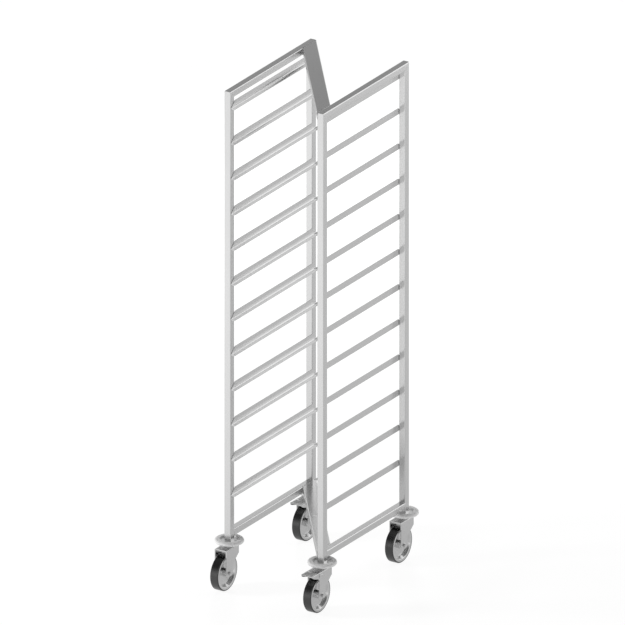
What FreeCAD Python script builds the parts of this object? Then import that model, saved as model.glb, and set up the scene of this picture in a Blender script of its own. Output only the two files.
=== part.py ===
import FreeCAD, Part
import os
import Sketcher
from FreeCAD import Placement, Rotation, Vector

# Nesting tray trolley of square stainless tube: two side frames with tray runners, joined in
# plan as a letter Z by a flat diagonal tube at the top and another at the bottom, on four
# swivel casters with round wall bumpers.
# Frame: +X to the right, +Y to the rear, +Z up, the floor at Z = 0.

doc = FreeCAD.newDocument("tray_trolley")

# Driving dimensions, in millimetres
DIMENSIONS = {
    # square tube of the posts and rails, flat tube of the diagonals
    "tube_size": 25,
    "tube_wall": 1.5,
    "tube_corner_radius": 3.5,
    "diagonal_width": 50,
    # room between the posts for a 325 mm wide tray, and depth over the posts
    "clear_width": 335,
    "frame_depth": 535,
    "bottom_rail_lift": 10.5,
    # tiers of runners, counted down from the top of the frame
    "tier_count": 12,
    "tier_pitch": 125,
    "first_runner_drop": 36,
    "lowest_bay": 124,
    # runner: a sheet angle with slanted web ends
    "runner_web": 25,
    "runner_flange": 15,
    "runner_sheet": 1.5,
    "runner_bend_radius": 6,
    "runner_setback": 2.5,
    "runner_end_run": 25,
    "runner_end_foot": 3.5,
    # wheel and tyre
    "wheel_diameter": 125,
    "wheel_width": 30,
    "tyre_thickness": 4.5,
    "shoulder_drop": 2,
    "shoulder_run": 2,
    "bond_gap": 0.05,
    "rim_depth": 8,
    "dish_run": 7,
    "rim_edge_radius": 2,
    "disc_thickness": 6,
    "hub_radius": 13,
    "hub_root_step": 2,
    # fork, with the wheel in front of the swivel axis
    "caster_trail": 35,
    "wheel_side_gap": 5,
    "wheel_top_gap": 19,
    "hub_end_gap": 1.5,
    "fork_sheet": 3,
    "fork_bend_radius": 3.5,
    "fork_leg_half": 19.5,
    "fork_leg_drop": 12.5,
    "fork_leg_round": 9,
    "fork_shoulder": 30,
    "fork_neck_reach": 20.5,
    "fork_neck_rise": 26,
    # axle bolt, nut and spacer sleeve
    "axle_radius": 4,
    "axle_flats": 13,
    "axle_head": 5.3,
    "axle_nut": 4,
    "axle_end": 1,
    "sleeve_radius": 6,
    "running_gap": 0.05,
    "hole_gap": 0.1,
    # swivel: bearing ring, head, bolt
    "swivel_gap": 0.2,
    "bearing_height": 3,
    "bearing_inset": 4,
    "head_height": 11.5,
    "head_flare": 7,
    "swivel_bolt_radius": 6,
    "swivel_bolt_flats": 18,
    "swivel_bolt_head": 7.5,
    # wall bumper, and the plug in the foot of a post with the round plate that carries it
    "foot_plate": 3,
    "foot_plate_radius": 31,
    "bumper_radius": 49,
    "bumper_width": 21,
    "bumper_height": 13,
    "plug_flange": 2,
    "plug_depth": 30,
    "plug_gap": 0.2,
    # brake pedal
    "pedal_sheet": 3,
    "pedal_cheek": 2.5,
    "pedal_reach": 39,
    "pedal_gap": 1.2,
    "pedal_heel_slant": 2.5,
    "pedal_cheek_reach": 33,
    "pedal_cheek_rear": 21,
    "pedal_cheek_front": 11,
    "pedal_cheek_toe": 7,
    "pedal_edge_radius": 2,
    "pedal_pin_radius": 3,
    "pedal_pin_head": 2,
    "pedal_pin_setback": 15,
    "pedal_pin_drop": 13,
    "pedal_arm": 3,
    "pedal_arm_gap": 0.5,
    "pedal_arm_heel": 6,
    "pedal_arm_drop": 5,
    "pedal_shoe_length": 7,
    "pedal_shoe_drop": 20,
    "ridge_height": 1.5,
    "ridge_width": 3,
    "ridge_pitch": 7,
    "ridge_setback": 12,
    "ridge_inset": 6,
}

# Sizes that follow from the driving dimensions
DERIVED = {
    "inner_face_x": "Dimensions.clear_width / 2",
    "half_depth": "Dimensions.frame_depth / 2",
    "post_x": "inner_face_x + Dimensions.tube_size / 2",
    "post_y": "half_depth - Dimensions.tube_size / 2",
    "tube_bore": "Dimensions.tube_size - 2 * Dimensions.tube_wall",
    "bore_corner_radius": "Dimensions.tube_corner_radius - Dimensions.tube_wall",
    # runners and post length
    "runner_top_to_last": "(Dimensions.tier_count - 1) * Dimensions.tier_pitch",
    "runner_foot_drop": "Dimensions.first_runner_drop + Dimensions.runner_web",
    "frame_height": "runner_foot_drop + runner_top_to_last + Dimensions.lowest_bay"
    " + Dimensions.tube_size + Dimensions.bottom_rail_lift",
    "runner_length": "Dimensions.frame_depth - 2 * Dimensions.runner_setback",
    # caster levels, up from the floor
    "wheel_radius": "Dimensions.wheel_diameter / 2",
    "fork_under": "Dimensions.wheel_diameter + Dimensions.wheel_top_gap",
    "fork_top": "fork_under + Dimensions.fork_sheet",
    "head_foot": "fork_top + Dimensions.bearing_height",
    "plate_foot": "head_foot + Dimensions.head_height",
    "plate_top": "plate_foot + Dimensions.foot_plate",
    "bumper_foot": "(plate_foot + plate_top - Dimensions.bumper_height) / 2",
    "post_foot": "plate_top + Dimensions.plug_flange",
    "frame_top": "post_foot + frame_height",
    "bottom_rail_z": "post_foot + Dimensions.bottom_rail_lift + Dimensions.tube_size / 2",
    "top_rail_z": "frame_top - Dimensions.tube_size / 2",
    # fork in plan
    "fork_inside": "Dimensions.wheel_width + 2 * Dimensions.wheel_side_gap",
    "fork_width": "fork_inside + 2 * Dimensions.fork_sheet",
    "fork_front": "Dimensions.caster_trail + Dimensions.fork_leg_half",
    "fork_rear": "fork_width / 2",
    "bearing_radius": "fork_width / 2 - Dimensions.bearing_inset",
    "swivel_hole": "Dimensions.swivel_bolt_radius + Dimensions.hole_gap",
    "axle_hole": "Dimensions.axle_radius + Dimensions.hole_gap",
    "bumper_round": "min(Dimensions.bumper_height; Dimensions.bumper_width) * 0.49",
    # wheel radii and half widths
    "core_radius": "wheel_radius - Dimensions.tyre_thickness",
    "rim_inside": "core_radius - Dimensions.rim_depth",
    "half_wheel": "Dimensions.wheel_width / 2",
    "half_hub": "fork_inside / 2 - Dimensions.hub_end_gap",
    "half_disc": "Dimensions.disc_thickness / 2",
    # pedal places, from the swivel axis and the floor
    "pedal_front": "fork_front + Dimensions.pedal_reach",
    "pedal_pin_y": "Dimensions.pedal_pin_setback - fork_front",
    "pedal_pin_z": "fork_top - Dimensions.pedal_pin_drop",
    "pedal_arm_out": "fork_inside / 2 - Dimensions.pedal_arm_gap",
    # the footprint's middle is the origin, with the wheels trailing to the front
    "front_overhang": "max(Dimensions.caster_trail + wheel_radius; pedal_front)",
    "frame_shift": "(front_overhang - Dimensions.bumper_radius) / 2",
    # diagonal: its edges run through opposite outer corners of the frame
    "corner_reach": "sqrt(inner_face_x * inner_face_x + half_depth * half_depth)",
    "diagonal_lean": "acos(Dimensions.diagonal_width / 2 / corner_reach)"
    " - atan2(inner_face_x; half_depth)",
    "diagonal_near": "(inner_face_x - Dimensions.diagonal_width / 2 * sin(diagonal_lean))"
    " / cos(diagonal_lean)",
    "diagonal_far": "(inner_face_x + Dimensions.diagonal_width / 2 * sin(diagonal_lean))"
    " / cos(diagonal_lean)",
}

# The corners: name, side of X, side of Y
CORNERS = {
    "front_left": (-1, -1),
    "front_right": (1, -1),
    "rear_left": (-1, 1),
    "rear_right": (1, 1),
}
BRAKED = ("front_right", "rear_left")
SIDES = {"left": -1, "right": 1}

NEAR = 1e-4
ALONG_X = Rotation(Vector(0, 1, 0), 90)
UPRIGHT = Rotation()

nodes = []


def fill_sheet(name, rows, prefix):
    sheet = doc.addObject("Spreadsheet::Sheet", name)
    for row, (alias, content) in enumerate(rows.items(), start=1):
        sheet.set(f"A{row}", alias.replace("_", " "))
        sheet.set(f"B{row}", f"{prefix}{content}")
        sheet.setAlias(f"B{row}", alias)
    return sheet


fill_sheet("Dimensions", DIMENSIONS, "")
derived = fill_sheet("Derived", DERIVED, "=")
doc.recompute()


def dim(name):
    """The expression that reads a driving or derived size."""
    return f"Dimensions.{name}" if name in DIMENSIONS else f"Derived.{name}"


def value(expression):
    """What an expression comes to, in millimetres."""
    return float(derived.evalExpression(expression))


def as_node(thing, label):
    thing.Label = label
    nodes.append(thing)
    return thing


def new_body(name):
    return doc.addObject("PartDesign::Body", name)


def place(thing, x="0", y="0", z="0", turn=UPRIGHT):
    thing.Placement = Placement(Vector(), turn)
    for axis, expression in zip("xyz", (x, y, z)):
        thing.setExpression(f"Placement.Base.{axis}", expression)
    return thing


def sketch_on(body, role, offset=None):
    """A sketch on one of the body's own origin planes, moved along its normal if asked."""
    sketch = body.newObject("Sketcher::SketchObject", f"{body.Name}_sketch")
    plane = next(f for f in body.Origin.OriginFeatures if f.Role == role)
    sketch.AttachmentSupport = [(plane, "")]
    sketch.MapMode = "FlatFace"
    if offset:
        sketch.setExpression("AttachmentOffset.Base.z", offset)
    return sketch


def bind(sketch, constraint, expression):
    number = sketch.addConstraint(constraint)
    sketch.setExpression(f"Constraints[{number}]", expression)


def pin_point(sketch, geometry, point, x, y):
    """Holds a point (1 start, 2 end, 3 centre) at its distances from the sketch's origin."""
    bind(sketch, Sketcher.Constraint("DistanceX", -1, 1, geometry, point, value(x)), x)
    bind(sketch, Sketcher.Constraint("DistanceY", -1, 1, geometry, point, value(y)), y)


def polygon(sketch, corners):
    """A closed outline through corners given as pairs of expressions."""
    points = [Vector(value(x), value(y), 0) for x, y in corners]
    first = sketch.GeometryCount
    count = len(points)
    for i in range(count):
        sketch.addGeometry(Part.LineSegment(points[i], points[(i + 1) % count]), False)
    for i in range(count):
        sketch.addConstraint(
            Sketcher.Constraint("Coincident", first + i, 2, first + (i + 1) % count, 1)
        )
    for i, (x, y) in enumerate(corners):
        pin_point(sketch, first + i, 1, x, y)


def rectangle(sketch, x0, y0, x1, y1):
    polygon(sketch, [(x0, y0), (x1, y0), (x1, y1), (x0, y1)])


def centred_rectangle(sketch, width, height):
    rectangle(sketch, f"-{width} / 2", f"-{height} / 2", f"{width} / 2", f"{height} / 2")


def hexagon(sketch, flats):
    """A hexagon of that width over its flats."""
    half, side, tip = f"{flats} / 2", f"{flats} / 2 / sqrt(3)", f"{flats} / sqrt(3)"
    polygon(
        sketch,
        [
            ("0", f"-{tip}"),
            (half, f"-{side}"),
            (half, side),
            ("0", tip),
            (f"-{half}", side),
            (f"-{half}", f"-{side}"),
        ],
    )


def circle(sketch, radius, x="0", y="0"):
    centre = Vector(value(x), value(y), 0)
    number = sketch.addGeometry(Part.Circle(centre, Vector(0, 0, 1), value(radius)), False)
    pin_point(sketch, number, 3, x, y)
    bind(sketch, Sketcher.Constraint("Radius", number, value(radius)), radius)


def feature_of(body, kind, sketch):
    feature = body.newObject(f"PartDesign::{kind}", f"{body.Name}_{kind.lower()}")
    feature.Profile = sketch
    return feature


def pad(body, sketch, length, symmetric=False):
    feature = feature_of(body, "Pad", sketch)
    feature.setExpression("Length", length)
    if symmetric:
        feature.SideType = "Symmetric"
    doc.recompute()
    return feature


def pocket(body, sketch):
    """Cuts the outline right through the body, to both sides of the sketch."""
    before = body.Shape.Volume
    feature = feature_of(body, "Pocket", sketch)
    feature.Type = "ThroughAll"
    feature.SideType = "Symmetric"
    doc.recompute()
    if not body.Shape.Volume < before:
        raise ValueError(f"{feature.Name} cuts nothing")
    return feature


def revolve(body, corners, kind="Revolution"):
    """Turns an outline of (radius, height) corners about the body's Z axis, to add or cut."""
    sketch = sketch_on(body, "XZ_Plane")
    polygon(sketch, corners)
    feature = feature_of(body, kind, sketch)
    feature.ReferenceAxis = (sketch, ["V_Axis"])
    feature.Angle = 360
    doc.recompute()
    return feature


def round_edges(body, feature, chosen, radius):
    """Rounds the feature's edges for which chosen(edge) is true."""
    names = [f"Edge{n}" for n, e in enumerate(feature.Shape.Edges, start=1) if chosen(e)]
    rounded = body.newObject("PartDesign::Fillet", f"{body.Name}_round")
    rounded.Base = (feature, names)
    rounded.setExpression("Radius", radius)
    doc.recompute()
    return rounded


def along(axis):
    """Picks straight edges that run along an axis: 0 is X, 1 is Y, 2 is Z."""

    def chosen(edge):
        run = edge.Vertexes[-1].Point - edge.Vertexes[0].Point
        return run.Length > NEAR and abs(abs(run[axis]) - run.Length) < NEAR

    return chosen


def along_at(axis, **places):
    """As along, for edges whose middle lies at the given distances from the origin planes."""
    runs = along(axis)

    def chosen(edge):
        middle = edge.BoundBox.Center
        at_place = (abs(abs(getattr(middle, k)) - v) < NEAR for k, v in places.items())
        return runs(edge) and all(at_place)

    return chosen


TUBE, WALL = dim("tube_size"), dim("tube_wall")


def tube_body(label, width, role, axis, length, symmetric):
    """A hollow tube with rounded long edges, its section on an origin plane."""
    body = as_node(new_body(label), label)
    section = sketch_on(body, role)
    centred_rectangle(section, width, TUBE)
    bar = pad(body, section, length, symmetric)
    round_edges(body, bar, along(axis), dim("tube_corner_radius"))
    bore = sketch_on(body, role)
    bore_width, bore_height = f"({width} - 2 * {WALL})", dim("tube_bore")
    centred_rectangle(bore, bore_width, bore_height)
    hollow = pocket(body, bore)
    across, up = role[0].lower(), role[1].lower()
    corners = along_at(axis, **{across: value(bore_width) / 2, up: value(bore_height) / 2})
    round_edges(body, hollow, corners, dim("bore_corner_radius"))
    return body


def build_post(corner):
    """A post, mitred at its top towards the rail."""
    side_x, side_y = CORNERS[corner]
    top = dim("frame_height")
    body = tube_body(f"post_{corner}", TUBE, "XY_Plane", 2, top, False)
    outer = f"{side_y} * {TUBE} / 2"
    mitre = sketch_on(body, "YZ_Plane")
    polygon(mitre, [(outer, top), (f"-({outer})", top), (f"-({outer})", f"{top} - {TUBE}")])
    pocket(body, mitre)
    y = f"{dim('frame_shift')} + {side_y} * {dim('post_y')}"
    place(body, f"{side_x} * {dim('post_x')}", y, dim("post_foot"))


def build_top_rail(side):
    """A rail over the two posts of one side, mitred at both ends."""
    body = tube_body(f"top_rail_{side}", TUBE, "XZ_Plane", 1, dim("frame_depth"), True)
    mitres = sketch_on(body, "YZ_Plane")
    low, high = f"-{TUBE} / 2", f"{TUBE} / 2"
    for sign in (-1, 1):
        end = f"{sign} * {dim('half_depth')}"
        polygon(mitres, [(end, high), (end, low), (f"{end} - {sign} * {TUBE}", low)])
    pocket(body, mitres)
    place(body, f"{SIDES[side]} * {dim('post_x')}", dim("frame_shift"), dim("top_rail_z"))


def build_bottom_rail(side):
    """A rail between the feet of the two posts of one side."""
    length = f"{dim('frame_depth')} - 2 * {TUBE}"
    body = tube_body(f"bottom_rail_{side}", TUBE, "XZ_Plane", 1, length, True)
    place(body, f"{SIDES[side]} * {dim('post_x')}", dim("frame_shift"), dim("bottom_rail_z"))


def build_diagonal(label, height):
    """A flat tube from the rear left to the front right, cut to lie flat on both side frames."""
    near, far = dim("diagonal_near"), dim("diagonal_far")
    width = dim("diagonal_width")
    body = tube_body(label, width, "YZ_Plane", 0, f"2 * {far}", True)
    ends = sketch_on(body, "XY_Plane")
    for sign in (-1, 1):
        edge = f"{sign} * {width} / 2"
        tip = f"{sign} * {far}"
        polygon(ends, [(f"{sign} * {near}", edge), (tip, edge), (tip, f"-({edge})")])
    pocket(body, ends)
    place(body, y=dim("frame_shift"), z=height, turn=Rotation(Vector(0, 0, -1), 45))
    body.setExpression("Placement.Rotation.Angle", dim("diagonal_lean"))


def build_runner(side, tier):
    """A sheet angle on the inner faces of two posts: web upright, flange inwards at its foot."""
    label = f"runner_{side}_{tier + 1:02d}"
    body = as_node(new_body(label), label)
    web, flange, sheet = dim("runner_web"), dim("runner_flange"), dim("runner_sheet")
    section = sketch_on(body, "XZ_Plane")
    polygon(
        section,
        [("0", "0"), (flange, "0"), (flange, sheet), (sheet, sheet), (sheet, web), ("0", web)],
    )
    angle = pad(body, section, dim("runner_length"), True)
    bend = dim("runner_bend_radius")
    outside = round_edges(body, angle, along_at(1, x=0, z=0), bend)
    thick = value(sheet)
    round_edges(body, outside, along_at(1, x=thick, z=thick), f"{bend} - {sheet}")
    slants = sketch_on(body, "YZ_Plane")
    for sign in (-1, 1):
        end = f"{sign} * {dim('runner_length')} / 2"
        corner = f"{end} - {sign} * {dim('runner_end_run')}"
        polygon(slants, [(end, dim("runner_end_foot")), (end, web), (corner, web)])
    pocket(body, slants)
    foot = f"{dim('frame_top')} - {dim('runner_foot_drop')} - {tier} * {dim('tier_pitch')}"
    turn = UPRIGHT if side == "left" else Rotation(Vector(0, 0, 1), 180)
    place(body, f"{SIDES[side]} * {dim('inner_face_x')}", dim("frame_shift"), foot, turn)


def at_corner(thing, corner, height="0"):
    """Places a piece on the swivel axis of a corner."""
    side_x, side_y = CORNERS[corner]
    y = f"{dim('frame_shift')} + {side_y} * {dim('post_y')}"
    return place(thing, f"{side_x} * {dim('post_x')}", y, height)


def at_axle(thing, corner):
    """Places a piece that was made about Z so that it lies along the axle of a corner."""
    side_x, side_y = CORNERS[corner]
    y = f"{dim('frame_shift')} + {side_y} * {dim('post_y')} - {dim('caster_trail')}"
    return place(thing, f"{side_x} * {dim('post_x')}", y, dim("wheel_radius"), ALONG_X)


def group(label, members):
    """One node of several separate solids."""
    compound = as_node(doc.addObject("Part::Compound", label), label)
    compound.Links = members
    doc.recompute()
    return compound


def build_plug(corner):
    """The threaded plug in the foot of a post: a spigot, a square flange and a round foot plate."""
    body = new_body(f"plug_{corner}")
    flange, depth = f"{dim('foot_plate')} + {dim('plug_flange')}", dim("plug_depth")
    square = sketch_on(body, "XY_Plane")
    centred_rectangle(square, TUBE, TUBE)
    slab = pad(body, square, flange)
    round_edges(body, slab, along(2), dim("tube_corner_radius"))
    plate = sketch_on(body, "XY_Plane")
    circle(plate, dim("foot_plate_radius"))
    pad(body, plate, dim("foot_plate"))
    spigot = sketch_on(body, "XY_Plane")
    inside = f"({dim('tube_bore')} - 2 * {dim('plug_gap')})"
    centred_rectangle(spigot, inside, inside)
    stem = pad(body, spigot, f"{flange} + {depth}")
    half = value(inside) / 2
    round_edges(body, stem, along_at(2, x=half, y=half), f"{dim('bore_corner_radius')} - {dim('plug_gap')}")
    thread = sketch_on(body, "XY_Plane")
    circle(thread, dim("swivel_hole"))
    pocket(body, thread)
    return at_corner(body, corner, dim("plate_foot"))


def build_head(corner):
    """The swivel head: a cone that widens upwards to the foot plate of the post."""
    body = new_body(f"head_{corner}")
    hole, low, top = dim("swivel_hole"), dim("bearing_radius"), dim("head_height")
    wide = f"{low} + {dim('head_flare')}"
    revolve(body, [(hole, "0"), (low, "0"), (wide, top), (hole, top)])
    return at_corner(body, corner, dim("head_foot"))


def build_bearing(corner):
    """The bearing ring under the head, a running gap above the fork."""
    body = new_body(f"bearing_{corner}")
    gap = dim("swivel_gap")
    hole, out, high = dim("swivel_hole"), dim("bearing_radius"), dim("bearing_height")
    revolve(body, [(hole, gap), (out, gap), (out, high), (hole, high)])
    return at_corner(body, corner, dim("fork_top"))


def build_swivel_bolt(corner):
    """The bolt that the fork turns on: head under the fork, thread up in the plug."""
    body = new_body(f"swivel_bolt_{corner}")
    seat = f"{dim('fork_under')} - {dim('swivel_gap')}"
    head = sketch_on(body, "XY_Plane", f"{seat} - {dim('swivel_bolt_head')}")
    hexagon(head, dim("swivel_bolt_flats"))
    pad(body, head, dim("swivel_bolt_head"))
    shank = sketch_on(body, "XY_Plane", seat)
    circle(shank, dim("swivel_bolt_radius"))
    pad(body, shank, f"{dim('post_foot')} + {dim('plug_depth')} - ({seat})")
    return at_corner(body, corner)


def build_bumper(corner):
    """A round bumper: a thick ring with rounded edges, snapped over the foot plate."""
    label = f"bumper_{corner}"
    body = as_node(new_body(label), label)
    out, high = dim("bumper_radius"), dim("bumper_height")
    inside = f"({out} - {dim('bumper_width')})"
    ring = revolve(body, [(inside, "0"), (out, "0"), (out, high), (inside, high)])
    round_edges(body, ring, lambda edge: edge.isClosed(), dim("bumper_round"))
    plate, half = dim("foot_plate_radius"), f"{dim('foot_plate')} / 2"
    low, top = f"{high} / 2 - {half}", f"{high} / 2 + {half}"
    slot = [(f"{inside} / 2", low), (plate, low), (plate, top), (f"{inside} / 2", top)]
    revolve(body, slot, "Groove")
    at_corner(body, corner, dim("bumper_foot"))


def build_fork(corner):
    """A fork bent from sheet: a crown plate over two legs that narrow to the axle."""
    label = f"fork_{corner}"
    body = as_node(new_body(label), label)
    front, rear, top = f"-{dim('fork_front')}", dim("fork_rear"), dim("fork_top")
    trail, axle = dim("caster_trail"), dim("wheel_radius")
    foot = f"{axle} - {dim('fork_leg_drop')}"
    width = dim("fork_width")
    outline = sketch_on(body, "YZ_Plane")
    polygon(
        outline,
        [
            (front, foot),
            (f"{dim('fork_leg_half')} - {trail}", foot),
            (f"{dim('fork_neck_reach')} - {trail}", f"{axle} + {dim('fork_neck_rise')}"),
            (rear, f"{top} - {dim('fork_shoulder')}"),
            (rear, top),
            (front, top),
        ],
    )
    block = pad(body, outline, width, True)
    bends = along_at(1, x=value(width) / 2, z=value(top))
    bent = round_edges(body, block, bends, dim("fork_bend_radius"))
    round_edges(body, bent, along_at(0, z=value(foot)), dim("fork_leg_round"))
    channel = sketch_on(body, "XZ_Plane")
    inside = dim("fork_inside")
    rectangle(channel, f"-{inside} / 2", "0", f"{inside} / 2", dim("fork_under"))
    pocket(body, channel)
    cross_holes = sketch_on(body, "YZ_Plane")
    circle(cross_holes, dim("axle_hole"), f"-{trail}", axle)
    if corner in BRAKED:
        pin_hole = f"{dim('pedal_pin_radius')} + {dim('hole_gap')}"
        circle(cross_holes, pin_hole, dim("pedal_pin_y"), dim("pedal_pin_z"))
    pocket(body, cross_holes)
    swivel = sketch_on(body, "XY_Plane")
    circle(swivel, f"{dim('swivel_bolt_radius')} + {dim('running_gap')}")
    pocket(body, swivel)
    at_corner(body, corner)


def build_axle_bolt(corner):
    """The axle bolt, its head on the left leg and its thread out past the right one."""
    body = new_body(f"axle_bolt_{corner}")
    half = f"{dim('fork_width')} / 2"
    head = sketch_on(body, "XY_Plane", f"-({half}) - {dim('axle_head')}")
    hexagon(head, dim("axle_flats"))
    pad(body, head, dim("axle_head"))
    shank = sketch_on(body, "XY_Plane", f"-({half})")
    circle(shank, dim("axle_radius"))
    pad(body, shank, f"{dim('fork_width')} + {dim('axle_nut')} + {dim('axle_end')}")
    return at_axle(body, corner)


def build_axle_nut(corner):
    body = new_body(f"axle_nut_{corner}")
    section = sketch_on(body, "XY_Plane", f"{dim('fork_width')} / 2")
    hexagon(section, dim("axle_flats"))
    circle(section, dim("axle_hole"))
    pad(body, section, dim("axle_nut"))
    return at_axle(body, corner)


def build_sleeve(corner):
    """The sleeve that the hub turns on, clamped between the legs."""
    body = new_body(f"sleeve_{corner}")
    section = sketch_on(body, "XY_Plane")
    circle(section, dim("sleeve_radius"))
    circle(section, dim("axle_hole"))
    pad(body, section, dim("fork_inside"), True)
    return at_axle(body, corner)


def build_pedal_pin(corner):
    """The rivet that a brake pedal turns on, headed outside both legs."""
    body = new_body(f"pedal_pin_{corner}")
    shank, half = dim("pedal_pin_radius"), f"{dim('fork_width')} / 2"
    big, out = f"2 * {shank}", f"{half} + {dim('pedal_pin_head')}"
    corners = [("0", f"-({out})"), (shank, f"-({out})"), (big, f"-({half})"), (shank, f"-({half})")]
    corners += [(shank, half), (big, half), (shank, out), ("0", out)]
    revolve(body, corners)
    side_x, side_y = CORNERS[corner]
    y = f"{dim('frame_shift')} + {side_y} * {dim('post_y')} + {dim('pedal_pin_y')}"
    return place(body, f"{side_x} * {dim('post_x')}", y, dim("pedal_pin_z"), ALONG_X)


def build_wheel_core(corner):
    """A wheel core: a hub, a thin disc and a rounded rim, with a deep dish on both faces."""
    label = f"wheel_core_{corner}"
    body = as_node(new_body(label), label)
    bore = f"{dim('sleeve_radius')} + {dim('running_gap')}"
    hub, root = dim("hub_radius"), f"{dim('hub_radius')} + {dim('hub_root_step')}"
    half_hub, half_disc, half_wheel = dim("half_hub"), dim("half_disc"), dim("half_wheel")
    rim_out, rim_in = dim("core_radius"), dim("rim_inside")
    dish = f"{rim_in} - {dim('dish_run')}"
    face = [(bore, half_hub), (hub, half_hub), (root, half_disc), (dish, half_disc)]
    face += [(rim_in, half_wheel), (rim_out, half_wheel)]
    back = [(radius, f"-{height}") for radius, height in reversed(face)]
    core = revolve(body, face + back)
    rim_edge = value(rim_in)

    def on_rim(edge):
        return edge.isClosed() and abs(edge.Curve.Radius - rim_edge) < NEAR

    round_edges(body, core, on_rim, dim("rim_edge_radius"))
    at_axle(body, corner)


def build_tyre(corner):
    """A tyre on the rim, flat across the tread, with bevelled shoulders."""
    label = f"tyre_{corner}"
    body = as_node(new_body(label), label)
    inside = f"{dim('core_radius')} + {dim('bond_gap')}"
    tread, side = dim("wheel_radius"), f"{dim('wheel_radius')} - {dim('shoulder_drop')}"
    half = dim("half_wheel")
    flat = f"({half} - {dim('shoulder_run')})"
    shoulder = [(inside, half), (side, half), (tread, flat)]
    other = [(radius, f"-{height}") for radius, height in reversed(shoulder)]
    revolve(body, shoulder + other)
    at_axle(body, corner)


def build_pedal(corner):
    """A brake pedal: an open channel before the fork, on two arms inside it that carry the shoe."""
    label = f"brake_pedal_{corner}"
    body = as_node(new_body(label), label)
    top, edge = dim("fork_top"), dim("fork_front")
    width = dim("fork_width")
    heel = f"-({edge} + {dim('pedal_gap')})"
    toe = f"-{dim('pedal_front')}"
    outline = sketch_on(body, "YZ_Plane")
    polygon(
        outline,
        [
            (heel, top),
            (f"{heel} - {dim('pedal_heel_slant')}", f"{top} - {dim('pedal_cheek_rear')}"),
            (f"-({edge} + {dim('pedal_cheek_reach')})", f"{top} - {dim('pedal_cheek_front')}"),
            (toe, f"{top} - {dim('pedal_cheek_toe')}"),
            (toe, top),
        ],
    )
    block = pad(body, outline, width, True)
    sides = along_at(1, x=value(width) / 2, z=value(top))
    front = along_at(0, y=value(dim("pedal_front")), z=value(top))
    round_edges(body, block, lambda e: sides(e) or front(e), dim("pedal_edge_radius"))
    channel = sketch_on(body, "XZ_Plane")
    half_inside = f"({width} / 2 - {dim('pedal_cheek')})"
    rectangle(channel, f"-{half_inside}", "0", half_inside, f"{top} - {dim('pedal_sheet')}")
    pocket(body, channel)
    build_pedal_arms(body)
    ridges = sketch_on(body, "YZ_Plane")
    for number in range(3):
        back = f"-({edge} + {dim('ridge_setback')} + {number} * {dim('ridge_pitch')})"
        fore = f"{back} - {dim('ridge_width')}"
        crest = f"{top} + {dim('ridge_height')}"
        slope = f"{dim('ridge_width')} / 4"
        under = f"{top} - {dim('pedal_sheet')} / 2"
        polygon(
            ridges,
            [(back, under), (back, top), (f"{back} - {slope}", crest), (f"{fore} + {slope}", crest)]
            + [(fore, top), (fore, under)],
        )
    pad(body, ridges, f"{width} - 2 * {dim('ridge_inset')}", True)
    at_corner(body, corner)


def build_pedal_arms(body):
    """The two arms of a pedal, back to its pin, with the brake shoe between them."""
    top, edge = dim("fork_top"), dim("fork_front")
    heel = f"-({edge} + {dim('pedal_gap')})"
    shoe_front = f"{heel} - {dim('pedal_shoe_length')}"
    low = f"{top} - {dim('pedal_shoe_drop')}"
    arm_top = f"{top} - {dim('pedal_arm_drop')}"
    in_plate = f"{top} - {dim('pedal_sheet')} / 2"
    arm_end = f"{dim('pedal_pin_y')} + {dim('pedal_arm_heel')}"
    outline = [
        (shoe_front, in_plate),
        (heel, in_plate),
        (heel, arm_top),
        (arm_end, arm_top),
        (arm_end, low),
        (shoe_front, low),
    ]
    out, thick = dim("pedal_arm_out"), dim("pedal_arm")
    for start in (f"{out} - {thick}", f"-{out}"):
        side = sketch_on(body, "YZ_Plane", start)
        polygon(side, outline)
        pad(body, side, thick)
    shoe = sketch_on(body, "YZ_Plane")
    rectangle(shoe, shoe_front, low, heel, in_plate)
    pad(body, shoe, f"2 * {out} - {thick}", True)
    bore = sketch_on(body, "YZ_Plane")
    pin_radius = f"{dim('pedal_pin_radius')} + {dim('running_gap')}"
    circle(bore, pin_radius, dim("pedal_pin_y"), dim("pedal_pin_z"))
    pocket(body, bore)


def build_frame():
    for corner in CORNERS:
        build_post(corner)
    for side in SIDES:
        build_top_rail(side)
        build_bottom_rail(side)
    build_diagonal("top_diagonal", dim("top_rail_z"))
    build_diagonal("bottom_diagonal", dim("bottom_rail_z"))
    for side in SIDES:
        for tier in range(round(value(dim("tier_count")))):
            build_runner(side, tier)


def build_casters():
    for corner in CORNERS:
        build_bumper(corner)
        build_fork(corner)
        build_wheel_core(corner)
        build_tyre(corner)
        pins = [build_axle_bolt(corner), build_axle_nut(corner), build_sleeve(corner)]
        if corner in BRAKED:
            pins.append(build_pedal_pin(corner))
            build_pedal(corner)
        group(f"axle_set_{corner}", pins)
    group("post_plugs", [build_plug(corner) for corner in CORNERS])
    group("swivel_heads", [build_head(corner) for corner in CORNERS])
    group("swivel_bearings", [build_bearing(corner) for corner in CORNERS])
    group("swivel_bolts", [build_swivel_bolt(corner) for corner in CORNERS])


def check_document():
    """Stops if any object failed, or a node's shape is empty or not valid."""
    doc.recompute()
    for thing in doc.Objects:
        if "Invalid" in thing.State or "Error" in thing.State:
            raise ValueError(f"{thing.Name} failed: {thing.State}")
    for node in nodes:
        if node.Shape.isNull() or not node.Shape.isValid():
            raise ValueError(f"{node.Label} has no valid shape")


def write_nodes():
    os.makedirs("parts", exist_ok=True)
    for node in nodes:
        node.Shape.exportStep(f"parts/{node.Label}.step")


build_frame()
build_casters()
check_document()
write_nodes()
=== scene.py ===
import math

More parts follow.
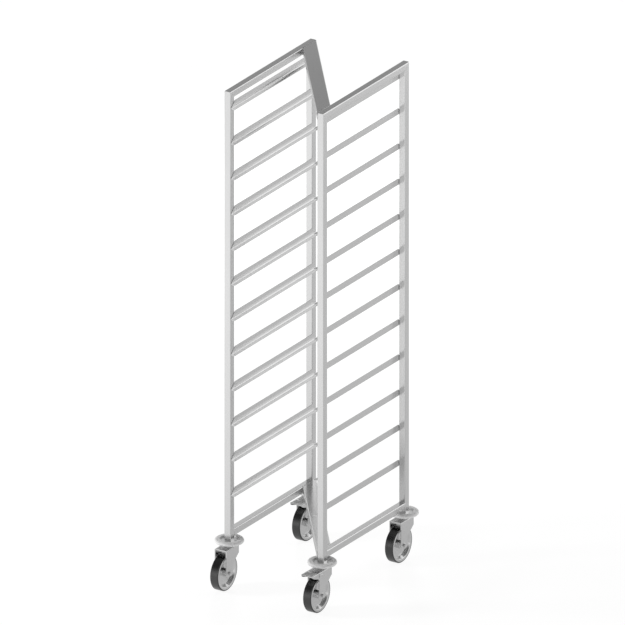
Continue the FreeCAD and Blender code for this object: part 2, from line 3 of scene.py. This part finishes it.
import bmesh
import bpy
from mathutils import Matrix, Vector


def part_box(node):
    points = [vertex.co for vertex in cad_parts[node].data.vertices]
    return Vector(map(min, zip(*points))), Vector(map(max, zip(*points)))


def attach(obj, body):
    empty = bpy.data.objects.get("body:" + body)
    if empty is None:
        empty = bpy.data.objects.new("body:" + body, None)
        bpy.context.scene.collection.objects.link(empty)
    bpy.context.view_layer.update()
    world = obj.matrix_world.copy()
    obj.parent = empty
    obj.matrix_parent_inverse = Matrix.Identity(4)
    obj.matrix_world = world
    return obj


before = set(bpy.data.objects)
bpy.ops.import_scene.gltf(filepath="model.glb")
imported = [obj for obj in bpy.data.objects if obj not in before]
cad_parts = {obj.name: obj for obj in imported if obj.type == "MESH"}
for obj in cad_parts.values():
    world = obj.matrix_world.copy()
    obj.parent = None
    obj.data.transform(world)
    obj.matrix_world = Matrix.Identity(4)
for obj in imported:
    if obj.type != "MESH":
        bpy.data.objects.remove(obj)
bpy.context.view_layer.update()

CORNERS = ("front_left", "front_right", "rear_left", "rear_right")

# Where the photograph was taken from
CAMERA_AZIMUTH = 31.87
CAMERA_ELEVATION = 22.3
CAMERA_AIM = Vector((-0.0117, 0.01695, 0.9222))
CAMERA_DISTANCE = 8.0
CAMERA_CLIP_END = 200.0
PHOTO_WIDTH = 2.0559

# Tube and runner sizes that the welds follow, as in the model
TUBE_ROUND = 0.0035
DIAGONAL_WIDTH = 0.050
DIAGONAL_LEAN = 53.4
RUNNER_END_RUN = 0.025
RUNNER_END_FOOT = 0.0035

# Welds: bead sizes, and how deep they lie in the grooves beside the tubes' rounded edges
WELD_RADIUS = 0.0020
SEAM_DEPTH = 0.0016
SEAM_SHIFT = 0.0012
GROUND_RADIUS = 0.0009
GROUND_DEPTH = 0.0006
TACK_RADIUS = 0.0012
TACK_SPAN = (0.1, 0.85)
BEAD_STEP = 0.0008
BEAD_RIPPLE = 0.04
BEAD_TIP = 0.35
BEAD_TAPER = 0.3
BEAD_SIDES = 10
ARC_STEPS = 6

# Caster trim: rings on the tyre's sides, the bumper's seam, the lock nut's collar
TYRE_RING_INSETS = (0.0026, 0.0038)
TYRE_RING = 0.0003
BUMPER_SEAM = 0.0003
BOLT_RADIUS = 0.004
BOLT_END = 0.001
COLLAR_RADIUS = 0.0056
COLLAR_HEIGHT = 0.0009
COLLAR_SHOULDER = 0.00063
COLLAR_CHAMFER = 0.0006
RING_SIDES = 8
RING_STEPS = 96
COLLAR_STEPS = 48

# The studio: its round wall, and the grey levels of wall, panel, floor and ceiling in reflections
REAR_WAY = Vector((0.53, 0.85, 0.0))
WALL_RADIUS = 5.0
WALL_HEIGHT = 7.0
WALL_STEPS = 96
WALL_FADE = ((0.0, 1.08), (0.43, 0.66), (0.70, 0.35), (1.0, 0.12))
WALL_SPAN = 4.0
FRONT_FADE_HEIGHT = 3.0
REAR_FADE_HEIGHT = 5.4
PANEL_FADE = ((4.0, 0.0), (4.6, 1.15))
CEILING_LEVEL = 0.16
FLOOR_HALF = 40.0
# Painted light and shade of the floor in reflections: brightest towards the front left, as if lit
# from there, dimmest close in front of the object's middle (painted shade), and dim behind it
FLOOR_PAINTED_LIGHT = (
    (-3.5, 0.90),
    (-1.6, 0.82),
    (-0.85, 0.78),
    (-0.45, 0.65),
    (-0.15, 0.49),
    (2.2, 0.55),
    (4.5, 0.51),
)
FLOOR_WHITE = 0.90
FLOOR_FILL = 0.65
FLOOR_DIFFUSE = 0.16

# Both lamps stand low on the left: where, how wide and how strong
LAMP_AIM = (0, 0, 0.16)
KEY_PLACE = (-3.1, -2.3, 1.7)
KEY_SIZE = 0.8
KEY_POWER = 84
REAR_PLACE = (-2.2, 3.2, 1.5)
REAR_SIZE = 1.0
REAR_POWER = 56

# Fine surface of the finishes
STEEL_PATCHES = 9.0
STEEL_RELIEF = 0.0004
MOULDED_RELIEF = 0.0005


def add(tree, kind, inputs=None, **settings):
    """A node with its settings; inputs gives each socket a value, or another socket to join."""
    made = tree.nodes.new(kind)
    for name, setting in settings.items():
        setattr(made, name, setting)
    for socket, content in (inputs or {}).items():
        if isinstance(content, bpy.types.NodeSocket):
            tree.links.new(content, made.inputs[socket])
        else:
            made.inputs[socket].default_value = content
    return made


def new_group(name, inputs, outputs):
    """An empty shader node group, with its input and output sockets by name."""
    tree = bpy.data.node_groups.new(name, "ShaderNodeTree")
    for socket, (kind, content) in inputs.items():
        made = tree.interface.new_socket(socket, in_out="INPUT", socket_type=f"NodeSocket{kind}")
        if content is not None:
            made.default_value = content
    for socket, kind in outputs.items():
        tree.interface.new_socket(socket, in_out="OUTPUT", socket_type=f"NodeSocket{kind}")
    return tree, tree.nodes.new("NodeGroupInput").outputs, tree.nodes.new("NodeGroupOutput").inputs


def brushed_grain_group():
    """Fine lines along a brushed metal surface, as roughness and height."""
    tree, given, result = new_group(
        "brushed grain",
        {"Vector": ("Vector", None), "Roughness": ("Float", 0.3), "Spread": ("Float", 0.1)},
        {"Roughness": "Float", "Height": "Float"},
    )
    lines = add(
        tree, "ShaderNodeTexNoise",
        {"Vector": given["Vector"], "Scale": 1.0, "Detail": 4.0, "Roughness": 0.65},
    )
    centred = add(
        tree, "ShaderNodeMath", {0: lines.outputs["Fac"], 1: 0.5}, operation="SUBTRACT"
    )
    varied = add(
        tree, "ShaderNodeMath",
        {0: centred.outputs[0], 1: given["Spread"], 2: given["Roughness"]},
        operation="MULTIPLY_ADD",
    )
    tree.links.new(varied.outputs[0], result["Roughness"])
    tree.links.new(lines.outputs["Fac"], result["Height"])
    return tree


def mottle_group():
    """Soft uneven patches between two colours, with a fine grain for the bump."""
    tree, given, result = new_group(
        "mottle",
        {
            "Vector": ("Vector", None),
            "Light": ("Color", (1, 1, 1, 1)),
            "Dark": ("Color", (0, 0, 0, 1)),
            "Patch Scale": ("Float", 40.0),
            "Grain Scale": ("Float", 900.0),
        },
        {"Color": "Color", "Height": "Float"},
    )
    patches = add(
        tree, "ShaderNodeTexNoise",
        {"Vector": given["Vector"], "Scale": given["Patch Scale"], "Detail": 3.0},
    )
    colour = add(
        tree, "ShaderNodeMix",
        {"Factor": patches.outputs["Fac"], "A": given["Dark"], "B": given["Light"]},
        data_type="RGBA",
    )
    grain = add(
        tree, "ShaderNodeTexNoise",
        {"Vector": given["Vector"], "Scale": given["Grain Scale"], "Detail": 2.0},
    )
    tree.links.new(colour.outputs["Result"], result["Color"])
    tree.links.new(grain.outputs["Fac"], result["Height"])
    return tree


GRAIN = brushed_grain_group()
MOTTLE = mottle_group()

SOCKETS = {"metallic": "Metallic", "roughness": "Roughness", "ior": "IOR"}


def new_material(name, **sockets):
    """A material with a Principled surface whose even values are set on its own sockets."""
    material = bpy.data.materials.new(name)
    material.use_nodes = True
    tree = material.node_tree
    surface = tree.nodes["Principled BSDF"]
    for socket, content in sockets.items():
        surface.inputs[SOCKETS[socket]].default_value = content
    return material, tree, surface


def brushed_steel(name, light, dark, roughness, spread, grain_scale, turn=0.0, bump=0.05):
    """Satin stainless steel whose grain runs along the axis with the smallest scale."""
    material, tree, surface = new_material(name, metallic=1.0)
    place = add(tree, "ShaderNodeTexCoord").outputs["Object"]
    grain_place = add(
        tree, "ShaderNodeMapping",
        {"Vector": place, "Rotation": (0, 0, turn), "Scale": grain_scale},
    )
    grain = add(tree, "ShaderNodeGroup", node_tree=GRAIN)
    tree.links.new(grain_place.outputs["Vector"], grain.inputs["Vector"])
    grain.inputs["Roughness"].default_value = roughness
    grain.inputs["Spread"].default_value = spread
    mottle = add(tree, "ShaderNodeGroup", node_tree=MOTTLE)
    tree.links.new(place, mottle.inputs["Vector"])
    mottle.inputs["Light"].default_value = (*light, 1)
    mottle.inputs["Dark"].default_value = (*dark, 1)
    mottle.inputs["Patch Scale"].default_value = STEEL_PATCHES
    bumped = add(
        tree, "ShaderNodeBump",
        {"Height": grain.outputs["Height"], "Strength": bump, "Distance": STEEL_RELIEF},
    )
    tree.links.new(mottle.outputs["Color"], surface.inputs["Base Color"])
    tree.links.new(grain.outputs["Roughness"], surface.inputs["Roughness"])
    tree.links.new(bumped.outputs["Normal"], surface.inputs["Normal"])
    return material


def moulded(name, light, dark, roughness, patch, grain, bump, **sockets):
    """Moulded plastic or rubber with faint patches and a fine grain."""
    material, tree, surface = new_material(name, roughness=roughness, **sockets)
    place = add(tree, "ShaderNodeTexCoord").outputs["Object"]
    mottle = add(tree, "ShaderNodeGroup", node_tree=MOTTLE)
    tree.links.new(place, mottle.inputs["Vector"])
    mottle.inputs["Light"].default_value = (*light, 1)
    mottle.inputs["Dark"].default_value = (*dark, 1)
    mottle.inputs["Patch Scale"].default_value = patch
    mottle.inputs["Grain Scale"].default_value = grain
    bumped = add(
        tree, "ShaderNodeBump",
        {"Height": mottle.outputs["Height"], "Strength": bump, "Distance": MOULDED_RELIEF},
    )
    tree.links.new(mottle.outputs["Color"], surface.inputs["Base Color"])
    tree.links.new(bumped.outputs["Normal"], surface.inputs["Normal"])
    return material


def grey(level):
    return (level, level, level)


# Grain lines per metre along each axis
UPRIGHT_GRAIN = (900, 900, 6)
DEPTH_GRAIN = (900, 6, 900)
WIDTH_GRAIN = (6, 900, 900)
FINE_GRAIN = (400, 400, 400)

POST_STEEL = brushed_steel("post steel", grey(0.73), grey(0.70), 0.22, 0.06, UPRIGHT_GRAIN)
RAIL_STEEL = brushed_steel("rail steel", grey(0.73), grey(0.70), 0.22, 0.06, DEPTH_GRAIN)
RUNNER_STEEL = brushed_steel("runner steel", grey(0.73), grey(0.70), 0.22, 0.06, DEPTH_GRAIN)
DIAGONAL_STEEL = brushed_steel(
    "diagonal steel", grey(0.73), grey(0.70), 0.22, 0.06, WIDTH_GRAIN, math.radians(DIAGONAL_LEAN)
)
CASTER_STEEL = brushed_steel("caster steel", grey(0.72), grey(0.68), 0.18, 0.08, (300, 300, 20))
HARDWARE_STEEL = brushed_steel("hardware steel", grey(0.72), grey(0.66), 0.38, 0.10, FINE_GRAIN)
PEDAL_STEEL = brushed_steel("pedal steel", grey(0.72), grey(0.66), 0.24, 0.10, (300, 300, 300))
PLATE_STEEL = brushed_steel("foot plate steel", grey(0.88), grey(0.84), 0.36, 0.08, FINE_GRAIN)
BUMPER_PLASTIC = moulded("bumper plastic", grey(0.84), grey(0.81), 0.35, 30, 1500, 0.03)
WHEEL_METAL = brushed_steel("wheel metal", grey(0.72), grey(0.68), 0.24, 0.08, (300, 300, 300))
WELD_STEEL = brushed_steel("weld steel", grey(0.73), grey(0.66), 0.30, 0.10, (500, 500, 500))
TYRE_RUBBER = moulded("tyre rubber", grey(0.010), grey(0.002), 0.13, 300, 900, 0.5, ior=1.85)


def finish_of(node):
    if node == "post_plugs":
        return PLATE_STEEL
    if node.startswith("post"):
        return POST_STEEL
    if "rail" in node:
        return RAIL_STEEL
    if "diagonal" in node:
        return DIAGONAL_STEEL
    if node.startswith("runner"):
        return RUNNER_STEEL
    if node.startswith("brake_pedal"):
        return PEDAL_STEEL
    if node.startswith("bumper") or node == "swivel_heads":
        return BUMPER_PLASTIC
    if node.startswith("wheel_core"):
        return WHEEL_METAL
    if node.startswith("tyre"):
        return TYRE_RUBBER
    if node.startswith("axle") or node in ("swivel_bolts", "swivel_bearings"):
        return HARDWARE_STEEL
    return CASTER_STEEL


def dress_nodes():
    for name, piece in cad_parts.items():
        piece.data.materials.clear()
        piece.data.materials.append(finish_of(name))


def finish_piece(shape, name, material, body):
    """Turns a bmesh into a smooth piece with its finish, which moves with a body."""
    bmesh.ops.recalc_face_normals(shape, faces=shape.faces)
    mesh = bpy.data.meshes.new(name)
    shape.to_mesh(mesh)
    shape.free()
    mesh.shade_smooth()
    mesh.materials.append(material)
    piece = bpy.data.objects.new(name, mesh)
    bpy.context.scene.collection.objects.link(piece)
    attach(piece, body)


def even_steps(corners, step):
    """Points along a line of corners, about a step apart."""
    points = []
    for start, end in zip(corners, corners[1:]):
        count = max(1, round((end - start).length / step))
        points += [start.lerp(end, k / count) for k in range(count)]
    return points + [corners[-1]]


def add_bead(shape, corners, radius, closed):
    """Adds a rippled weld bead along a line of corners; an open bead tapers at its ends."""
    line = even_steps(corners + corners[:1] if closed else corners, BEAD_STEP)
    if closed:
        line.pop()
    rings = []
    count = len(line)
    for k, point in enumerate(line):
        ahead = line[(k + 1) % count] if closed else line[min(k + 1, count - 1)]
        behind = line[k - 1] if closed else line[max(k - 1, 0)]
        turn = (ahead - behind).to_track_quat("Z", "Y")
        size = radius * (1 + BEAD_RIPPLE * math.cos(math.pi * k))
        if not closed:
            size *= min(1.0, BEAD_TIP + BEAD_TAPER * min(k, count - 1 - k))
        spokes = [2 * math.pi * side / BEAD_SIDES for side in range(BEAD_SIDES)]
        section = [Vector((size * math.cos(a), size * math.sin(a), 0)) for a in spokes]
        rings.append([shape.verts.new(point + turn @ spot) for spot in section])
    pairs = zip(rings, rings[1:] + rings[:1]) if closed else zip(rings, rings[1:])
    for one, other in pairs:
        for side in range(BEAD_SIDES):
            after = (side + 1) % BEAD_SIDES
            shape.faces.new((one[side], one[after], other[after], other[side]))
    if not closed:
        shape.faces.new(rings[0])
        shape.faces.new(rings[-1])


def round_outline(half_a, half_b, radius):
    """The corners of a rectangle with rounded corners, about its middle."""
    corners = []
    for quarter, (side_a, side_b) in enumerate(((1, 1), (-1, 1), (-1, -1), (1, -1))):
        for step in range(ARC_STEPS + 1):
            angle = (quarter + step / ARC_STEPS) * math.pi / 2
            a = side_a * (half_a - radius) + radius * math.cos(angle)
            b = side_b * (half_b - radius) + radius * math.sin(angle)
            corners.append((a, b))
    return corners


def weld_bottom_rails():
    """The seams at both ends of each bottom rail."""
    for side in ("left", "right"):
        low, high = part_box(f"bottom_rail_{side}")
        middle, half = (low + high) / 2, (high - low) / 2
        shape = bmesh.new()
        for end in (low.y, high.y):
            outline = round_outline(half.x - SEAM_DEPTH, half.z, TUBE_ROUND)
            y = end + math.copysign(SEAM_SHIFT, end - middle.y)
            seam = [Vector((middle.x + a, y, middle.z + b)) for a, b in outline]
            add_bead(shape, seam, WELD_RADIUS, True)
        finish_piece(shape, f"bottom_rail_welds_{side}", WELD_STEEL, "frame")


def weld_mitres():
    """The ground seam round the mitre at the top of each post."""
    for corner in CORNERS:
        low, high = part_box(f"post_{corner}")
        middle, half = (low + high) / 2, (high - low) / 2
        outer = low.y if corner.startswith("front") else high.y
        flat = half.x - GROUND_DEPTH
        seam = []
        for a, b in round_outline(flat, flat, TUBE_ROUND):
            y = middle.y + b
            drop = max(abs(y - outer), GROUND_DEPTH)
            seam.append(Vector((middle.x + a, y, high.z - drop)))
        shape = bmesh.new()
        add_bead(shape, seam, GROUND_RADIUS, True)
        finish_piece(shape, f"mitre_weld_{corner}", WELD_STEEL, "frame")


def weld_diagonals():
    """The seams where the slanted ends of a diagonal meet the two side frames."""
    for level in ("top", "bottom"):
        low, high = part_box(f"{level}_diagonal")
        middle, half = (low + high) / 2, (high - low) / 2
        reach = math.hypot(half.x, half.y)
        lean = math.acos(DIAGONAL_WIDTH / 2 / reach) - math.atan2(half.x, half.y)
        half_end = DIAGONAL_WIDTH / math.cos(lean) / 2
        shape = bmesh.new()
        for x, y in ((low.x, high.y - half_end), (high.x, low.y + half_end)):
            outline = round_outline(half_end, half.z - SEAM_DEPTH, TUBE_ROUND)
            wall = x + math.copysign(SEAM_SHIFT, x)
            seam = [Vector((wall, y + a, middle.z + b)) for a, b in outline]
            add_bead(shape, seam, WELD_RADIUS, True)
        finish_piece(shape, f"{level}_diagonal_welds", WELD_STEEL, "frame")


def weld_runners():
    """A short bead along both slanted ends of each runner, on the posts' inner faces."""
    for side in ("left", "right"):
        shape = bmesh.new()
        for name in sorted(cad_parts):
            if not name.startswith(f"runner_{side}"):
                continue
            low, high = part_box(name)
            wall = low.x if side == "left" else high.x
            slope = (high.z - low.z - RUNNER_END_FOOT) / RUNNER_END_RUN
            for end, inwards in ((low.y, 1), (high.y, -1)):
                bead = []
                for share in TACK_SPAN:
                    run = RUNNER_END_RUN * share
                    height = low.z + RUNNER_END_FOOT + slope * run
                    bead.append(Vector((wall, end + inwards * run, height)))
                add_bead(shape, bead, TACK_RADIUS, False)
        finish_piece(shape, f"runner_welds_{side}", WELD_STEEL, "frame")


def add_lathe(shape, profile, centre, axis, steps):
    """Adds the closed ring that a (radius, height) outline makes when turned about an axis."""
    turn = Vector(axis).to_track_quat("Z", "Y")
    rings = []
    for k in range(steps):
        angle = 2 * math.pi * k / steps
        way = Vector((math.cos(angle), math.sin(angle), 0))
        section = [way * radius + Vector((0, 0, height)) for radius, height in profile]
        rings.append([shape.verts.new(centre + turn @ spot) for spot in section])
    count = len(profile)
    for one, other in zip(rings, rings[1:] + rings[:1]):
        for k in range(count):
            after = (k + 1) % count
            shape.faces.new((one[k], one[after], other[after], other[k]))


def ring_profile(radius, height, size):
    """A small round section about a place."""
    spokes = [2 * math.pi * k / RING_SIDES for k in range(RING_SIDES)]
    return [(radius + size * math.cos(a), height + size * math.sin(a)) for a in spokes]


def build_caster_trim(corner):
    """Fine moulded rings on a tyre's sides and its bumper, and the collar of the lock nut."""
    low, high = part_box(f"tyre_{corner}")
    axle, half = (low + high) / 2, (high.x - low.x) / 2
    radius = (high.z - low.z) / 2
    shape = bmesh.new()
    for height in (-half, half):
        for inset in TYRE_RING_INSETS:
            ring = ring_profile(radius - inset, height, TYRE_RING)
            add_lathe(shape, ring, axle, (1, 0, 0), RING_STEPS)
    finish_piece(shape, f"tyre_rings_{corner}", TYRE_RUBBER, f"wheel_{corner}")

    low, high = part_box(f"bumper_{corner}")
    shape = bmesh.new()
    seam = ring_profile((high.x - low.x) / 2 - BUMPER_SEAM / 2, 0, BUMPER_SEAM)
    add_lathe(shape, seam, (low + high) / 2, (0, 0, 1), RING_STEPS)
    finish_piece(shape, f"bumper_seam_{corner}", BUMPER_PLASTIC, "frame")

    low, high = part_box(f"axle_set_{corner}")
    end = Vector((high.x - BOLT_END, axle.y, axle.z))
    shape = bmesh.new()
    collar = [
        (BOLT_RADIUS, 0),
        (COLLAR_RADIUS, 0),
        (COLLAR_RADIUS, COLLAR_SHOULDER),
        (COLLAR_RADIUS - COLLAR_CHAMFER, COLLAR_HEIGHT),
        (BOLT_RADIUS, COLLAR_HEIGHT),
    ]
    add_lathe(shape, collar, end, (1, 0, 0), COLLAR_STEPS)
    body = f"caster_{corner}"
    finish_piece(shape, f"nut_collar_{corner}", HARDWARE_STEEL, body)


def build_floor():
    sides = ((-1, -1), (1, -1), (1, 1), (-1, 1))
    corners = [(x * FLOOR_HALF, y * FLOOR_HALF, 0) for x, y in sides]
    mesh = bpy.data.meshes.new("floor")
    mesh.from_pydata(corners, [], [(0, 1, 2, 3)])
    floor = bpy.data.objects.new("floor", mesh)
    bpy.context.scene.collection.objects.link(floor)
    mesh.materials.append(floor_material())


def level_ramp(tree, level, stops):
    """A grey level that follows a value through (value, grey) stops."""
    low, high = stops[0][0], stops[-1][0]
    share = add(tree, "ShaderNodeMapRange", {"Value": level, "From Min": low, "From Max": high})
    ramp = add(tree, "ShaderNodeValToRGB", {"Fac": share.outputs["Result"]})
    elements = ramp.color_ramp.elements
    while len(elements) < len(stops):
        elements.new(1.0)
    for element, (place, grey_level) in zip(elements, stops):
        element.position = (place - low) / (high - low)
        element.color = (grey_level, grey_level, grey_level, 1)
    return ramp.outputs["Color"]


def bare_material(name):
    material = bpy.data.materials.new(name)
    material.use_nodes = True
    tree = material.node_tree
    tree.nodes.remove(tree.nodes["Principled BSDF"])
    return material, tree, tree.nodes["Material Output"].inputs["Surface"]


def floor_material():
    """White to the camera; in reflections, painted with light and shade, over a surface that takes
    the real shadow.
    """
    material, tree, surface = bare_material("studio floor")
    paths = add(tree, "ShaderNodeLightPath").outputs
    place = add(tree, "ShaderNodeNewGeometry").outputs["Position"]
    reach = add(tree, "ShaderNodeVectorMath", {0: place, 1: REAR_WAY}, operation="DOT_PRODUCT")
    # Painted light and shade: the floor's glow in reflections, bright towards the front left and
    # dimmest close to the object
    painted_light = level_ramp(tree, reach.outputs["Value"], FLOOR_PAINTED_LIGHT)
    seen = add(
        tree, "ShaderNodeMath",
        {0: paths["Is Glossy Ray"], 1: paths["Is Transmission Ray"]},
        operation="ADD",
    )
    bounced = add(tree, "ShaderNodeMix", {"Factor": seen.outputs[0], "A": FLOOR_FILL, "B": painted_light})
    strength = add(
        tree, "ShaderNodeMix",
        {"Factor": paths["Is Camera Ray"], "A": bounced.outputs["Result"], "B": FLOOR_WHITE},
    )
    glow = add(
        tree, "ShaderNodeEmission",
        {"Color": (1, 1, 1, 1), "Strength": strength.outputs["Result"]},
    )
    pale = add(tree, "ShaderNodeBsdfDiffuse", {"Color": (*grey(FLOOR_DIFFUSE), 1)})
    both = add(tree, "ShaderNodeAddShader", {0: glow.outputs[0], 1: pale.outputs[0]})
    tree.links.new(both.outputs[0], surface)
    return material


def build_wall():
    """The round studio wall that the metal mirrors; the camera looks through it."""
    ring = [2 * math.pi * k / WALL_STEPS for k in range(WALL_STEPS)]
    circle = [(WALL_RADIUS * math.cos(a), WALL_RADIUS * math.sin(a)) for a in ring]
    spots = [(x, y, z) for z in (0, WALL_HEIGHT) for x, y in circle]
    faces = []
    for k in range(WALL_STEPS):
        after = (k + 1) % WALL_STEPS
        faces.append((k, k + WALL_STEPS, after + WALL_STEPS, after))
    mesh = bpy.data.meshes.new("wall")
    mesh.from_pydata(spots, [], faces)
    wall = bpy.data.objects.new("wall", mesh)
    bpy.context.scene.collection.objects.link(wall)
    mesh.materials.append(wall_material())
    wall.visible_camera = False
    wall.visible_shadow = False


def wall_material():
    """White at its foot and darker upwards, sooner at the front, with a bright rear panel."""
    material, tree, surface = bare_material("studio wall")
    place = add(tree, "ShaderNodeNewGeometry").outputs["Position"]
    parts = add(tree, "ShaderNodeSeparateXYZ", {"Vector": place}).outputs
    top = add(
        tree, "ShaderNodeMapRange",
        {
            "Value": parts["Y"],
            "From Min": -WALL_SPAN,
            "From Max": WALL_SPAN,
            "To Min": FRONT_FADE_HEIGHT,
            "To Max": REAR_FADE_HEIGHT,
        },
    )
    share = add(
        tree, "ShaderNodeMath", {0: parts["Z"], 1: top.outputs["Result"]}, operation="DIVIDE"
    )
    level = level_ramp(tree, share.outputs[0], WALL_FADE)
    towards = add(tree, "ShaderNodeVectorMath", {0: place, 1: REAR_WAY}, operation="DOT_PRODUCT")
    panel = level_ramp(tree, towards.outputs["Value"], PANEL_FADE)
    glow = add(tree, "ShaderNodeMath", {0: level, 1: panel}, operation="MAXIMUM")
    light = add(
        tree, "ShaderNodeEmission", {"Color": (1, 1, 1, 1), "Strength": glow.outputs[0]}
    )
    tree.links.new(light.outputs[0], surface)
    return material


def build_world():
    """A dark ceiling that only the reflections see, plain white to the camera."""
    world = bpy.data.worlds.new("studio")
    bpy.context.scene.world = world
    world.use_nodes = True
    tree = world.node_tree
    to_camera = add(tree, "ShaderNodeLightPath").outputs["Is Camera Ray"]
    shown = add(
        tree, "ShaderNodeMapRange",
        {"Value": to_camera, "To Min": CEILING_LEVEL, "To Max": 1.0},
    )
    tree.links.new(shown.outputs["Result"], tree.nodes["Background"].inputs["Color"])


def build_lamp(name, place, size, power):
    """A round lamp aimed at the casters, which the metal doesn't mirror."""
    lamp = bpy.data.lights.new(name, "AREA")
    lamp.shape = "DISK"
    lamp.size = size
    lamp.energy = power
    piece = bpy.data.objects.new(name, lamp)
    piece.location = place
    piece.rotation_euler = (Vector(LAMP_AIM) - Vector(place)).to_track_quat("-Z", "Y").to_euler()
    piece.visible_glossy = False
    bpy.context.scene.collection.objects.link(piece)


def build_camera():
    azimuth, elevation = math.radians(CAMERA_AZIMUTH), math.radians(CAMERA_ELEVATION)
    back = Vector(
        (
            math.sin(azimuth) * math.cos(elevation),
            -math.cos(azimuth) * math.cos(elevation),
            math.sin(elevation),
        )
    )
    lens = bpy.data.cameras.new("camera")
    lens.type = "ORTHO"
    lens.ortho_scale = PHOTO_WIDTH
    lens.clip_end = CAMERA_CLIP_END
    camera = bpy.data.objects.new("camera", lens)
    camera.location = CAMERA_AIM + back * CAMERA_DISTANCE
    camera.rotation_euler = (-back).to_track_quat("-Z", "Y").to_euler()
    bpy.context.scene.collection.objects.link(camera)
    bpy.context.scene.camera = camera


dress_nodes()
weld_bottom_rails()
weld_mitres()
weld_diagonals()
weld_runners()
for corner in CORNERS:
    build_caster_trim(corner)
build_floor()
build_world()
build_wall()
build_lamp("key lamp", KEY_PLACE, KEY_SIZE, KEY_POWER)
build_lamp("rear lamp", REAR_PLACE, REAR_SIZE, REAR_POWER)
build_camera()
bpy.context.scene.view_settings.view_transform = "Standard"
